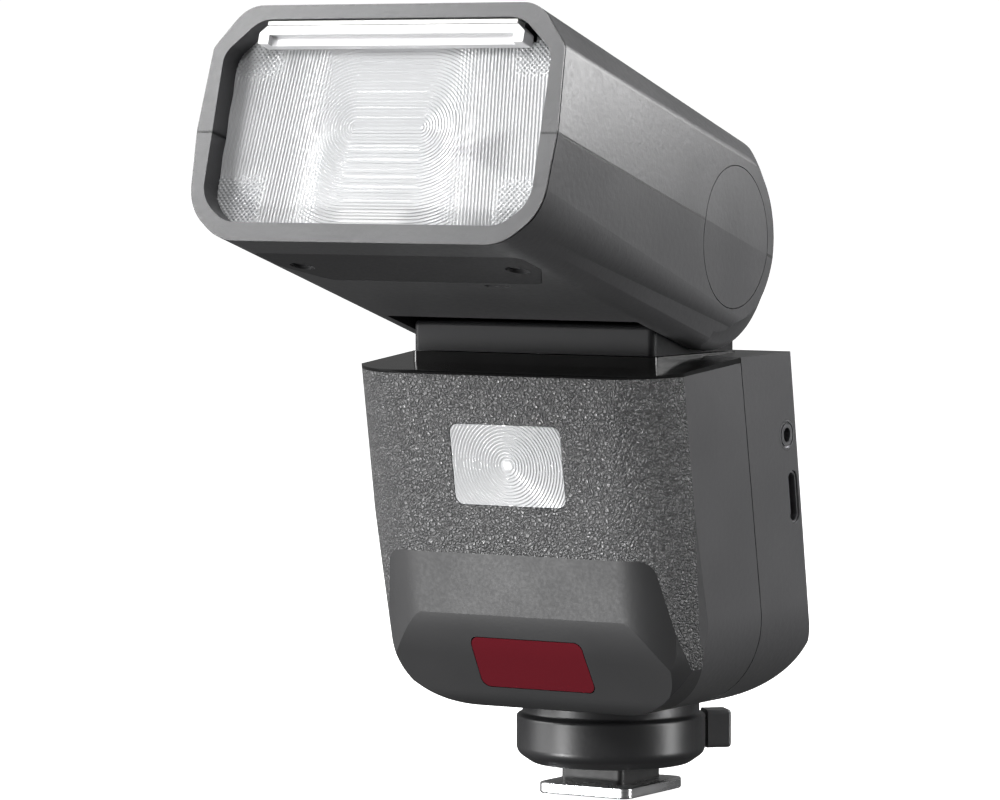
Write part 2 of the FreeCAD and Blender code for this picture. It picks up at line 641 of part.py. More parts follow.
def build_neck():
    block = neck_footprint(0, NECK_BOTTOM, NECK_SHELF)
    rim = [e for e in block.Edges if e.BoundBox.ZMin > NECK_SHELF - 1e-6]
    block = block.makeFillet(0.8, rim)
    drum = pivot_rod(DRUM_RADIUS, -NECK_HALF_WIDTH, NECK_HALF_WIDTH)
    drum_rims = [e for e in drum.Edges if e.BoundBox.XLength < 1e-6]
    drum = drum.makeFillet(0.8, drum_rims)
    housing = joined([block, drum])
    end = NECK_HALF_WIDTH - 2.4
    core = pivot_rod(DRUM_RADIUS - 2.0, -end, end).cut(pivot_rod(AXLE_RADIUS + 2.0, -40, 40))
    housing = housing.cut(core).cut(pivot_rod(AXLE_RADIUS, -40, 40))
    housing = housing.cut(swivel_rod(SWIVEL_RADIUS, 60, 83.0)).cut(swivel_rod(6.0, 60, 90))
    save("neck_housing", housing)
    reach = CAP_X - 0.2
    save("tilt_axle", pivot_rod(AXLE_RADIUS, -reach, reach).cut(pivot_rod(3.4, -40, 40)))
    washers = []
    for side in (-1, 1):
        near = Vector(side * NECK_HALF_WIDTH, PIVOT.y, PIVOT.z)
        far = Vector(side * (NECK_HALF_WIDTH + 0.55), PIVOT.y, PIVOT.z)
        washers.append(ring(9.0, AXLE_RADIUS, near, far))
    save("tilt_washers", *washers)
    save("swivel_tube", swivel_rod(SWIVEL_RADIUS, 69.2, 83.0).cut(swivel_rod(7.6, 60, 90)))
    clip = swivel_rod(12.0, 70.6, 72.2).cut(swivel_rod(SWIVEL_RADIUS, 60, 90))
    save("swivel_retainer", clip)
    bushing = joined([swivel_rod(SWIVEL_HOLE, 73.2, NECK_BOTTOM - 0.15), swivel_rod(13.0, 72.6, 73.6)])
    save("swivel_bushing", bushing.cut(swivel_rod(SWIVEL_RADIUS + RUNNING, 60, 90)))


# ---------------------------------------------------------------- head, level, facing -Y from the pivot
def head_placed(shape):
    return turned(shape, -HEAD_TILT, PIVOT)


def head_corner(index, f):
    """One corner of the head's section at a distance f ahead of the pivot: x, height and radius."""
    share = f / HEAD_LENGTH
    near = HEAD_AT_PIVOT[index]
    far = HEAD_AT_FRONT[index]
    x, u = [near[i] + (far[i] - near[i]) * share for i in (0, 1)]
    return x, u, far[2] if f > 0 else near[2]


def head_section(f, inset):
    side = [head_corner(i, f) for i in range(len(HEAD_AT_PIVOT))]
    points = [(x, u) for x, u, _ in side]
    radii = [radius for _, _, radius in side]
    points = points + [(-x, u) for x, u in reversed(points)]
    wire = outline(points, radii + radii[::-1], lambda p: Vector(p.x, -f, p.y))
    if inset:
        wire = wire.makeOffset2D(-inset)
    return wire


def head_form(inset):
    """Tapered head, with its rear turned about the hinge axis."""
    rear = -BARREL[0][1]
    body = Part.makeLoft([head_section(rear, inset), head_section(HEAD_LENGTH, inset)], True, True)
    corners = [(x - inset, radius - inset) for x, radius, _ in BARREL]
    end = corners[1][1] - 1.0
    points = [(0, 0), (0, corners[0][1])] + corners + [(60, end), (60, 0)]
    wire = outline(points, [0, 0, BARREL[0][2], BARREL[1][2], 0, 0], lambda p: Vector(p.x, p.y, 0))
    half = Part.Face(wire).revolve(Vector(0, 0, 0), Vector(1, 0, 0), 360)
    barrel = half.fuse(mirrored(half)).removeSplitter()
    return body.common(barrel.fuse(box(-60, 60, -100, 0, -60, 60)))


def neck_slot():
    """Room between the cheeks for the drum and for the neck over the whole tilt."""
    reach = 32.0
    top = math.radians(SLOT_TOP)
    points = [(-SLOT_FRONT, 0), (-SLOT_FRONT, -reach), (reach, -reach), (reach, reach * math.sin(top)),
              (reach * math.cos(top), reach * math.sin(top)), (0, 0)]
    swing = along_x(points, [0] * 6, -CHEEK_X, CHEEK_X)
    drum = rod(DRUM_RADIUS + DRUM_CLEARANCE, Vector(-CHEEK_X, 0, 0), Vector(CHEEK_X, 0, 0))
    return swing.fuse(drum)


def window_prism(half_width, low, high, f0, f1):
    right = [(half_width - 5.2, low), (half_width, low + 3.85),
             (half_width, high - 5.85), (half_width - 6.5, high)]
    points = right + [(-x, u) for x, u in reversed(right)]
    return along_y(points, [6, 6, 4, 6, 6, 4, 6, 6], -f1, -f0)


def build_head_shells():
    outer = head_form(0)
    hollow = head_form(HEAD_WALL).common(box(-60, 60, -HOLLOW_F[1], -HOLLOW_F[0], -60, 60))
    shell = outer.cut(hollow).cut(neck_slot())
    window = window_prism(WINDOW_HALF_WIDTH, WINDOW_LOW, WINDOW_HIGH, HOLLOW_F[1] - 6, HEAD_LENGTH + 8)
    axle = rod(AXLE_RADIUS + RUNNING, Vector(-60, 0, 0), Vector(60, 0, 0))
    shell = shell.cut(window).cut(axle)
    for side in (-1, 1):
        seat = Vector(side * (CAP_X - 0.05), 0, 0)
        shell = shell.cut(rod(CAP_RADIUS + 0.15, seat, Vector(side * 60, 0, 0)))

    # fine groove of the front bezel, and the vent
    groove_f = HEAD_LENGTH - 0.4
    band = box(-60, 60, -groove_f - 0.15, -groove_f + 0.15, -60, 60)
    shell = shell.cut(head_form(-1.0).cut(head_form(0.45)).common(band))
    shell = shell.cut(box(*VENT, -40, -16))

    # blank label let into the underside, with two screws
    skin = outer.cut(head_form(LABEL_DEPTH))
    shell = shell.cut(skin.common(along_z(LABEL, [2] * 6, -40, -5)))
    label = skin.common(along_z(LABEL, [2] * 6, -40, -5, FIT_GAP))
    screws = []
    for x, y in HEAD_SCREWS:
        face = head_corner(-1, -y)[1]
        low = face + 0.55
        high = face + 1.45
        hole = rod(2.1, Vector(x, y, -40), Vector(x, y, high))
        label = label.cut(hole)
        shell = shell.cut(hole)
        head = rod(1.7, Vector(x, y, low), Vector(x, y, high))
        slots = joined([box(x - 1.1, x + 1.1, y - 0.25, y + 0.25, low - 1, low + 0.5),
                        box(x - 0.25, x + 0.25, y - 1.1, y + 1.1, low - 1, low + 0.5)])
        screws.append(head.cut(slots))
    save("head_label", head_placed(label))
    save("head_screws", *[head_placed(s) for s in screws])

    upper = shell.common(box(-60, 60, -100, 60, SEAM_GAP / 2, 60))
    lower = shell.common(box(-60, 60, -100, 60, -60, -SEAM_GAP / 2))
    save("head_upper_shell", head_placed(upper))
    save("head_lower_shell", head_placed(lower))
    for side, name in ((-1, "hinge_cap_left"), (1, "hinge_cap_right")):
        disc = rod(CAP_RADIUS, Vector(side * CAP_X, 0, 0), Vector(side * 60, 0, 0))
        save(name, head_placed(disc.common(outer)))


def card_placed(shape):
    """The slide-out panel and card run parallel to the head's sloping top."""
    rise = HEAD_AT_FRONT[0][1] - HEAD_AT_PIVOT[0][1]
    front = Vector(0, -LENS_F[1] + 0.5, LENS_TOP)
    copy = shape.copy()
    copy.rotate(front, Vector(1, 0, 0), -math.degrees(math.atan(rise / HEAD_LENGTH)))
    return head_placed(copy)


def build_head_front():
    back, front = LENS_F
    lens = window_prism(WINDOW_HALF_WIDTH - 0.08, WINDOW_LOW + 0.08, WINDOW_HIGH - 0.08, back, front)
    lens = lens.cut(box(-NOTCH_HALF, NOTCH_HALF, -80, -50, LENS_TOP, 30))
    save("flash_lens", head_placed(lens))

    # wide panel: a plate with a finger edge, dished in the middle
    high = CARD_U[0] - 0.12
    right = [(LIP_HALF, LIP_LOW), (LIP_HALF, high - 1.2), (LIP_HALF - 1.4, high)]
    points = right + [(-x, u) for x, u in reversed(right)]
    lip = along_y(points, [0.3] * 6, -LIP_F[1], -LIP_F[0])
    dish = box(-LIP_HALF + 2.0, LIP_HALF - 2.0, -LIP_F[1] - 1, -LIP_F[1] + 1.2, LIP_LOW - 1, high - 1.5)
    plate = box(-21.5, 21.5, -LIP_F[0] - 0.5, -25.1, *PANEL_U)
    save("wide_panel", card_placed(joined([plate, lip.cut(dish)])))
    edge = box(-CARD_HALF, CARD_HALF, -LIP_F[1] - 0.2, -LIP_F[0] - 0.8, *CARD_U)
    sheet = box(-20.5, 20.5, -LIP_F[1], -29.1, *CARD_U)
    save("bounce_card", card_placed(joined([edge, sheet])))


def trough_profile(grow):
    """Parabolic trough, (y, z) points from its lower lip to its upper lip."""
    half = TROUGH_HALF[1]
    steps = 12
    points = []
    for k in range(steps + 1):
        u = -half + 2 * half * k / steps
        f = TROUGH_F + u * u / (4 * TROUGH_FOCAL)
        slope = u / (2 * TROUGH_FOCAL)
        norm = math.hypot(1, slope)
        points.append(Vector(0, -(f - grow / norm), TROUGH_U + u + grow * slope / norm))
    return points


def trough(grow, x0, x1):
    points = trough_profile(grow)
    curve = Part.BSplineCurve()
    curve.interpolate(points)
    closing = Part.makeLine(points[-1], points[0])
    face = Part.Face(Part.Wire([curve.toShape(), closing]))
    face.translate(Vector(x0, 0, 0))
    return face.extrude(Vector(x1 - x0, 0, 0))


def fore_and_aft(radius, at, f0, f1):
    x, u = at
    return rod(radius, Vector(x, -f1, u), Vector(x, -f0, u))


def build_zoom():
    wall = 0.7
    half = TROUGH_HALF[0]
    lip_f = TROUGH_F + TROUGH_HALF[1] ** 2 / (4 * TROUGH_FOCAL)
    reflector = trough(wall, -half - wall, half + wall).cut(trough(0, -half, half))
    reflector = reflector.cut(box(-60, 60, -lip_f - 10, -lip_f + 0.25, -30, 30))
    bore = rod(TUBE_RADIUS + 0.3, Vector(-60, -TUBE_F, TROUGH_U), Vector(60, -TUBE_F, TROUGH_U))
    save("reflector", head_placed(reflector.cut(bore)))
    tube = rod(TUBE_RADIUS, Vector(-half - 1, -TUBE_F, TROUGH_U), Vector(half + 1, -TUBE_F, TROUGH_U))
    save("flash_tube", head_placed(tube))

    near, far = CARRIAGE_F
    bar = box(-25.8, 25.8, -far, -near, -13.9, -9.9)
    back = box(-12, 12, -near - 0.5, -near + 1.0, -10.3, 9.3)
    carriage = joined([bar, back]).cut(trough(wall + RUNNING, -half - 2, half + 2))
    for at in ROD_AT:
        carriage = carriage.cut(fore_and_aft(ROD_RADIUS + RUNNING, at, 0, 60))
    carriage = carriage.cut(fore_and_aft(SCREW_RADIUS + RUNNING, SCREW_AT, 0, 60))
    save("zoom_carriage", head_placed(carriage))

    rods = [fore_and_aft(ROD_RADIUS, at, HOLLOW_F[0], HOLLOW_F[1] - 0.1) for at in ROD_AT]
    save("zoom_rods", *[head_placed(r) for r in rods])
    motor_f = (HOLLOW_F[0] + 0.2, 25.3)
    shaft = fore_and_aft(SCREW_RADIUS, SCREW_AT, motor_f[1] + 0.3, 57.0)
    for k in range(31):
        f = 56.1 - k * 0.95
        collar = fore_and_aft(1.5, SCREW_AT, f - 0.4, f).cut(fore_and_aft(0.85, SCREW_AT, f - 1, f + 1))
        shaft = shaft.cut(collar)
    save("zoom_screw", head_placed(shaft))
    save("zoom_motor", head_placed(fore_and_aft(2.7, SCREW_AT, *motor_f)))
    save("head_board", head_placed(box(-4, 21, -56, -20, -15.7, -14.7)))
    save("trigger_coil", head_placed(box(-8, 8, -25.2, -HOLLOW_F[0] - 0.2, -4, 8)))


build_foot()
build_lock()
build_body()
build_sockets()
build_rear_controls()
build_body_internals()
build_neck()
build_head_shells()
build_head_front()
build_zoom()
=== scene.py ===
import json
import math

import bmesh
import bpy
from mathutils import Matrix, Vector


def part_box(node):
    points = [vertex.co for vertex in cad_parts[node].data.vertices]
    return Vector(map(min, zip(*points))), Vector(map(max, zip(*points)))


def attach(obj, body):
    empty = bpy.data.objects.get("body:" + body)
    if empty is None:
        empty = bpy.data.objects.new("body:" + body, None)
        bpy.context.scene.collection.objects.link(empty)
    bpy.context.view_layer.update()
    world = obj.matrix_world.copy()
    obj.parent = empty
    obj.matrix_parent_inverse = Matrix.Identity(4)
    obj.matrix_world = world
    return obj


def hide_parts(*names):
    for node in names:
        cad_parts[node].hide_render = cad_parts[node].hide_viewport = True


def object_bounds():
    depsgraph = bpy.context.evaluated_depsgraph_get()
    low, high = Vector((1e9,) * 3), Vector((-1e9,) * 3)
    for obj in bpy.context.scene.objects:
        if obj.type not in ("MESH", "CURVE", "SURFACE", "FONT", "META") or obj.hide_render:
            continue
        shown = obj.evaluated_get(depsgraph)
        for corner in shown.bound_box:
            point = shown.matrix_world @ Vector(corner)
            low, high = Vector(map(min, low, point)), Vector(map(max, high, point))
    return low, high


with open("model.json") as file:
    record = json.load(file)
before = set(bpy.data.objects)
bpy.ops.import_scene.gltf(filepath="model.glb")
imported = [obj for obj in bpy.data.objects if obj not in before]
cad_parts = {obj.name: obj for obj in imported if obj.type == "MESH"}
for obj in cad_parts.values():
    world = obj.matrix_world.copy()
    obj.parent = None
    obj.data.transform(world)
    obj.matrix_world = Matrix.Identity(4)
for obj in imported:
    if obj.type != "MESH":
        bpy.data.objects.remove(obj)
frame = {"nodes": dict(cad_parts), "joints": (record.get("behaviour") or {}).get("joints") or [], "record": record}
CAD_BOX = [list(corner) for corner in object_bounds()]
NODES = frame["nodes"]
JOINTS = {joint["name"]: joint for joint in frame["joints"]}
MM = 0.001


# ---------------------------------------------------------------- local frames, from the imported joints
def head_frame():
    """x across, -y out of the flash window, z up through the head, from the tilt pivot."""
    forward = -Vector(JOINTS["zoom_slide"]["axis"])
    across = Vector((1, 0, 0))
    up = across.cross(-forward)
    turn = Matrix((across, -forward, up)).transposed().to_4x4()
    return Matrix.Translation(Vector(JOINTS["head_tilt"]["pos_m"])) @ turn


def node_frame(node, normal):
    """A frame at the middle of a node, with -y along the given outward normal."""
    low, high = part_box(node)
    across = Vector((1, 0, 0))
    up = across.cross(-normal)
    turn = Matrix((across, -normal, up)).transposed().to_4x4()
    return Matrix.Translation((low + high) / 2) @ turn


def local_extent(node, matrix):
    """Lowest and highest corner of a node in a local frame."""
    inverse = matrix.inverted()
    points = [inverse @ v.co for v in NODES[node].data.vertices]
    low = Vector([min(p[i] for p in points) for i in range(3)])
    high = Vector([max(p[i] for p in points) for i in range(3)])
    return low, high


HEAD = head_frame()


# ---------------------------------------------------------------- material helpers
class Shader:
    """A Principled material with small helpers for its nodes."""

    def __init__(self, name, **values):
        self.material = bpy.data.materials.new(name)
        self.material.use_nodes = True
        self.tree = self.material.node_tree
        self.links = self.tree.links
        self.bsdf = self.tree.nodes["Principled BSDF"]
        self.place = self.node("ShaderNodeTexCoord").outputs["Object"]
        for socket, value in values.items():
            self.bsdf.inputs[socket.replace("_", " ")].default_value = value

    def node(self, kind, **settings):
        made = self.tree.nodes.new(kind)
        for key, value in settings.items():
            setattr(made, key, value)
        return made

    def feed(self, socket, value):
        if isinstance(value, (int, float)):
            socket.default_value = value
        elif isinstance(value, (tuple, list)):
            opaque = len(value) == 3 and len(socket.default_value) == 4
            socket.default_value = (*value, 1) if opaque else value
        else:
            self.links.new(value, socket)

    def noise(self, scale, detail=3.0, roughness=0.55, stretch=None):
        made = self.node("ShaderNodeTexNoise")
        made.inputs["Scale"].default_value = scale
        made.inputs["Detail"].default_value = detail
        made.inputs["Roughness"].default_value = roughness
        self.links.new(self.stretched(stretch) if stretch else self.place, made.inputs["Vector"])
        return made.outputs["Fac"]

    def stretched(self, stretch):
        made = self.node("ShaderNodeMapping")
        made.inputs["Scale"].default_value = stretch
        self.links.new(self.place, made.inputs["Vector"])
        return made.outputs["Vector"]

    def cells(self, scale, feature="F1", randomness=1.0, warp=None):
        made = self.node("ShaderNodeTexVoronoi", feature=feature)
        made.inputs["Scale"].default_value = scale
        made.inputs["Randomness"].default_value = randomness
        self.links.new(warp or self.place, made.inputs["Vector"])
        return made.outputs["Distance"]

    def math(self, operation, a, b=0.0, c=None):
        made = self.node("ShaderNodeMath", operation=operation)
        self.feed(made.inputs[0], a)
        self.feed(made.inputs[1], b)
        if c is not None:
            self.feed(made.inputs[2], c)
        return made.outputs[0]

    def span(self, value, low, high, to_low=0.0, to_high=1.0, smooth=False):
        made = self.node("ShaderNodeMapRange")
        if smooth:
            made.interpolation_type = "SMOOTHSTEP"
        self.feed(made.inputs["Value"], value)
        for name, number in (("From Min", low), ("From Max", high), ("To Min", to_low), ("To Max", to_high)):
            made.inputs[name].default_value = number
        return made.outputs["Result"]

    def mix(self, factor, first, second):
        made = self.node("ShaderNodeMix", data_type="RGBA")
        self.feed(made.inputs[0], factor)
        self.feed(made.inputs[6], first)
        self.feed(made.inputs[7], second)
        return made.outputs[2]

    def axis(self, which):
        made = self.node("ShaderNodeSeparateXYZ")
        self.links.new(self.place, made.inputs[0])
        return made.outputs["XYZ".index(which)]

    def bump(self, height, distance, strength=1.0, after=None):
        made = self.node("ShaderNodeBump")
        made.inputs["Strength"].default_value = strength
        made.inputs["Distance"].default_value = distance
        self.links.new(height, made.inputs["Height"])
        if after is not None:
            self.links.new(after, made.inputs["Normal"])
        return made.outputs["Normal"]

    def set(self, **sockets):
        for socket, value in sockets.items():
            self.feed(self.bsdf.inputs[socket.replace("_", " ")], value)
        return self.material


def moulded(name, dark, light, rough, grain=900.0, depth=0.00003, spread=0.06, specular=0.5):
    """Moulded plastic: faint cloudy tone, spark-eroded grain and a little uneven gloss."""
    s = Shader(name, Specular_IOR_Level=specular)
    cloud = s.noise(60.0, 4.0)
    grit = s.noise(grain, 2.0)
    tone = s.mix(cloud, dark, light)
    gloss = s.math("ADD", s.span(cloud, 0.3, 0.7, rough - spread / 2, rough + spread / 2),
                   s.span(grit, 0.3, 0.7, -0.03, 0.03))
    return s.set(Base_Color=tone, Roughness=gloss, Normal=s.bump(grit, depth))


def brushed(name, dark, light, rough, stretch=(4.0, 4.0, 400.0)):
    """Metal with fine lines from machining or brushing."""
    s = Shader(name, Metallic=1.0)
    lines = s.noise(9.0, 6.0, 0.7, stretch=stretch)
    cloud = s.noise(150.0, 3.0)
    return s.set(Base_Color=s.mix(lines, dark, light),
                 Roughness=s.math("ADD", s.span(lines, 0.3, 0.7, rough, rough + 0.12),
                                  s.span(cloud, 0.3, 0.7, -0.04, 0.04)),
                 Normal=s.bump(lines, 0.00001))


# Painted shade: the crease colour is much darker than the pebble tops.
LEATHER_CREASE_PAINTED_SHADE = (0.02, 0.02, 0.021)
LEATHER_TOP = (0.095, 0.095, 0.096)
PEBBLES_PER_METRE = 1500.0
WRINKLES_PER_METRE = 3200.0
WANDER_PER_METRE = 800.0
WANDER = 1.1 * MM
PEBBLE_RELIEF = 0.2 * MM


def leather(name):
    """Pebbled leatherette: flat-topped cells with narrow creases between them, the creases darkened as painted
    shade.
    """
    s = Shader(name, Specular_IOR_Level=1.0)
    wander = s.node("ShaderNodeTexNoise")
    wander.inputs["Scale"].default_value = WANDER_PER_METRE
    s.links.new(s.place, wander.inputs["Vector"])
    warp = s.node("ShaderNodeVectorMath", operation="MULTIPLY_ADD")
    s.links.new(wander.outputs["Color"], warp.inputs[0])
    warp.inputs[1].default_value = (WANDER, WANDER, WANDER)
    s.links.new(s.place, warp.inputs[2])
    pebble = s.cells(PEBBLES_PER_METRE, "DISTANCE_TO_EDGE", warp=warp.outputs[0])
    pebble = s.span(pebble, 0.0, 0.3, smooth=True)
    wrinkle = s.cells(WRINKLES_PER_METRE, "DISTANCE_TO_EDGE", warp=warp.outputs[0])
    wrinkle = s.span(wrinkle, 0.0, 0.25, smooth=True)
    height = s.math("ADD", pebble, s.math("MULTIPLY", wrinkle, 0.3))
    # Painted shade: the colour darkens from the pebble tops into the creases.
    tone = s.mix(s.span(height, 0.1, 1.2), LEATHER_CREASE_PAINTED_SHADE, LEATHER_TOP)
    return s.set(Base_Color=tone, Roughness=s.span(height, 0.2, 1.2, 0.5, 0.34),
                 Normal=s.bump(height, PEBBLE_RELIEF))


def clear_plastic(name, tint, rough=0.03, transmission=1.0):
    """Clear or translucent plastic or glass, with a faint uneven haze."""
    s = Shader(name, Transmission_Weight=transmission, IOR=1.49)
    haze = s.noise(80.0, 3.0)
    return s.set(Base_Color=s.mix(haze, tint, [min(1.0, t * 1.05) for t in tint]),
                 Roughness=s.span(haze, 0.3, 0.7, rough, rough + 0.04))


def make_materials():
    """One material for each slot of the record, and the frosted one of the wide panel."""
    m = {}
    m["charcoal_plastic"] = moulded("charcoal_plastic", (0.06, 0.06, 0.062), (0.07, 0.07, 0.072), 0.34)
    m["collar_plastic"] = moulded("collar_plastic", (0.018, 0.018, 0.019), (0.024, 0.024, 0.025), 0.36,
                                  grain=1500.0, depth=0.00001)
    m["black_plastic"] = moulded("black_plastic", (0.012, 0.012, 0.012), (0.02, 0.02, 0.02), 0.5)
    # Painted shade: a darker, less shiny copy of black_plastic, standing in for the head's shadow on the neck.
    m["neck_plastic"] = moulded("neck_plastic", (0.01, 0.01, 0.011), (0.015, 0.015, 0.016), 0.5,
                                depth=0.00001, specular=0.2)
    m["satin_panel"] = moulded("satin_panel", (0.034, 0.034, 0.035), (0.042, 0.042, 0.043), 0.42,
                               grain=1600.0, depth=0.00001, specular=0.22)
    m["gloss_black"] = moulded("gloss_black", (0.008, 0.008, 0.008), (0.011, 0.011, 0.011), 0.14, grain=300.0,
                               depth=0.000002, spread=0.04)
    m["key_plastic"] = moulded("key_plastic", (0.028, 0.028, 0.029), (0.036, 0.036, 0.037), 0.5)
    m["white_card"] = moulded("white_card", (0.78, 0.78, 0.76), (0.85, 0.85, 0.83), 0.5)
    m["grip_leather"] = leather("grip_leather")
    m["clear_lens"] = clear_plastic("clear_lens", (0.93, 0.94, 0.95))
    m["frosted_panel"] = clear_plastic("frosted_panel", (0.74, 0.74, 0.75), 0.22, 0.15)
    m["tube_glass"] = clear_plastic("tube_glass", (0.97, 0.97, 0.95))
    m["red_window"] = clear_plastic("red_window", (0.15, 0.012, 0.02), 0.1, 0.3)
    m["display_glass"] = moulded("display_glass", (0.01, 0.012, 0.014), (0.013, 0.015, 0.017), 0.07,
                                 grain=60.0, depth=0.000001, spread=0.03)
    m["foot_metal"] = brushed("foot_metal", (0.62, 0.62, 0.63), (0.78, 0.78, 0.79), 0.22)
    m["screw_metal"] = brushed("screw_metal", (0.3, 0.3, 0.31), (0.45, 0.45, 0.46), 0.3)
    m["contact_gold"] = brushed("contact_gold", (0.75, 0.56, 0.25), (0.88, 0.7, 0.38), 0.2)
    m["jack_metal"] = brushed("jack_metal", (0.22, 0.22, 0.23), (0.33, 0.33, 0.34), 0.3)
    m["reflector_metal"] = brushed("reflector_metal", (0.85, 0.85, 0.86), (0.95, 0.95, 0.95), 0.12)
    m["circuit_board"] = moulded("circuit_board", (0.01, 0.08, 0.03), (0.02, 0.13, 0.05), 0.3)
    m["battery_wrap"] = moulded("battery_wrap", (0.03, 0.07, 0.2), (0.05, 0.1, 0.28), 0.3)
    m["capacitor_sleeve"] = moulded("capacitor_sleeve", (0.015, 0.015, 0.02), (0.03, 0.03, 0.035), 0.25)
    return m


MATERIALS = make_materials()


OWN_LOOK = {"wide_panel": "frosted_panel"}


def finish_nodes():
    """Give every CAD node the procedural material of its slot, or its own one."""
    for part in frame["record"]["subparts"]:
        node = NODES[part["node"]]
        node.data.materials.clear()
        node.data.materials.append(MATERIALS[OWN_LOOK.get(part["node"], part["material_slot"])])


# ---------------------------------------------------------------- ribbed lenses
SLOPE_SHARE = 0.85


def saw(value):
    """One fresnel step: a slope, then a sharp return."""
    phase = value - math.floor(value)
    return phase / SLOPE_SHARE if phase < SLOPE_SHARE else (1 - phase) / (1 - SLOPE_SHARE)


def ripple(value):
    """A round wave from 0 to 1, once per unit."""
    return 0.5 - 0.5 * math.cos(2 * math.pi * value)


def blend_in(value, low, high):
    """0 below low, 1 above high, smooth between."""
    t = min(1.0, max(0.0, (value - low) / (high - low)))
    return t * t * (3 - 2 * t)


def relief_plate(name, inside, half_width, low, high, depth, relief, step, matrix):
    """A clear plate whose front carries a relief; x across, z up, front towards -y.

    half_width(z) is the outline, inside(x, z) drops cells, relief(x, z) is the height in mm."""
    columns = int(2 * half_width((low + high) / 2) / step)
    rows = int((high - low) / step)
    mesh = bmesh.new()
    grid = []
    for r in range(rows + 1):
        z = low + (high - low) * r / rows
        half = half_width(z)
        line = []
        for c in range(columns + 1):
            x = half * (2 * c / columns - 1)
            line.append(mesh.verts.new((x * MM, -relief(x, z) * MM, z * MM)))
        grid.append(line)
    for r in range(rows):
        for c in range(columns):
            corners = [grid[r][c], grid[r][c + 1], grid[r + 1][c + 1], grid[r + 1][c]]
            middle = sum((v.co for v in corners), Vector()) / (4 * MM)
            if inside(middle.x, middle.z):
                mesh.faces.new(corners)
    bmesh.ops.delete(mesh, geom=[v for v in mesh.verts if not v.link_faces], context="VERTS")
    rim = [edge for edge in mesh.edges if edge.is_boundary]
    walls = bmesh.ops.extrude_edge_only(mesh, edges=rim)["geom"]
    back_edges = [g for g in walls if isinstance(g, bmesh.types.BMEdge) and g.is_boundary]
    for vert in {v for edge in back_edges for v in edge.verts}:
        vert.co.y = depth * MM
    bmesh.ops.contextual_create(mesh, geom=back_edges)
    bmesh.ops.recalc_face_normals(mesh, faces=mesh.faces)
    data = bpy.data.meshes.new(name)
    mesh.to_mesh(data)
    mesh.free()
    for polygon in data.polygons:
        polygon.use_smooth = False
    piece = bpy.data.objects.new(name, data)
    bpy.context.collection.objects.link(piece)
    piece.matrix_world = matrix
    return piece


def rounded_half_width(half, low, high, low_corner, high_corner):
    """Half width of a rounded outline at a height; corners are (width, height) of an ellipse quarter."""
    def width(z):
        for edge, corner in ((z - low, low_corner), (high - z, high_corner)):
            if edge < corner[1]:
                rise = max(0.0, 1 - edge / corner[1])
                return half - corner[0] * (1 - math.sqrt(max(0.0, 1 - rise * rise)))
        return half
    return width


# Millimetres in the head's frame, from the middle of the lens outwards.
LENS_STEP = 0.12
LENS_RECESS = 0.4
LENS_CENTRE = 2.0
LENS_NOTCH = 16.3
NOTCH_HALF = 26.2
LENS_LOW_CORNER = (6.3, 5.0)
LENS_HIGH_CORNER = (7.8, 7.2)
RIB_PITCH = 0.56
RIB_DEPTH = 0.13
STRAIGHT_HALF = 6.5
PRISM_PITCH = 0.66
PRISM_DEPTH = 0.18
PRISM_LEAN = 0.09
PRISM_FROM, PRISM_TO = 9.0, 21.0
DIAMOND_PITCH = 1.4 * PRISM_PITCH
DIAMOND_DEPTH = 0.26


def flash_relief(x, z):
    """Stadium-shaped fresnel rings in the middle, upright prisms at both sides, diamonds in the corners."""
    run = max(0.0, abs(x) - STRAIGHT_HALF)
    ring = math.hypot(run, z - LENS_CENTRE)
    side = blend_in(abs(x), PRISM_FROM, PRISM_TO)
    corner = blend_in(abs(x), 21.0, 25.0) * blend_in(abs(z - LENS_CENTRE), 7.0, 11.0)
    rings = saw(ring / RIB_PITCH) * (1 - side)
    lean = abs(x) + PRISM_LEAN * (z - LENS_CENTRE)
    prisms = ripple(lean / PRISM_PITCH) * side * (1 - corner)
    diamonds = ripple((lean + z) / DIAMOND_PITCH) * ripple((lean - z) / DIAMOND_PITCH) * corner
    return RIB_DEPTH * rings + PRISM_DEPTH * prisms + DIAMOND_DEPTH * diamonds


# Painted reflection: the dark fan and the bright patch that the reflector shows through the lens, painted into the
# lens colour, in metres.
PAINTED_REFLECTION_FAN_TIP = 12.0 * MM
PAINTED_REFLECTION_FAN_HEIGHT = -2.0 * MM
PAINTED_REFLECTION_FAN_SPREAD = 0.36
PAINTED_REFLECTION_FAN_EDGE = (-1.0 * MM, 1.8 * MM)
PAINTED_REFLECTION_FAN_END = (22.0 * MM, 25.0 * MM)
PAINTED_REFLECTION_PATCH_TOP = (-10.5 * MM, -13.5 * MM)
PAINTED_REFLECTION_PATCH_MIDDLE = -1.0 * MM
PAINTED_REFLECTION_PATCH_HALF = (5.0 * MM, 7.5 * MM)


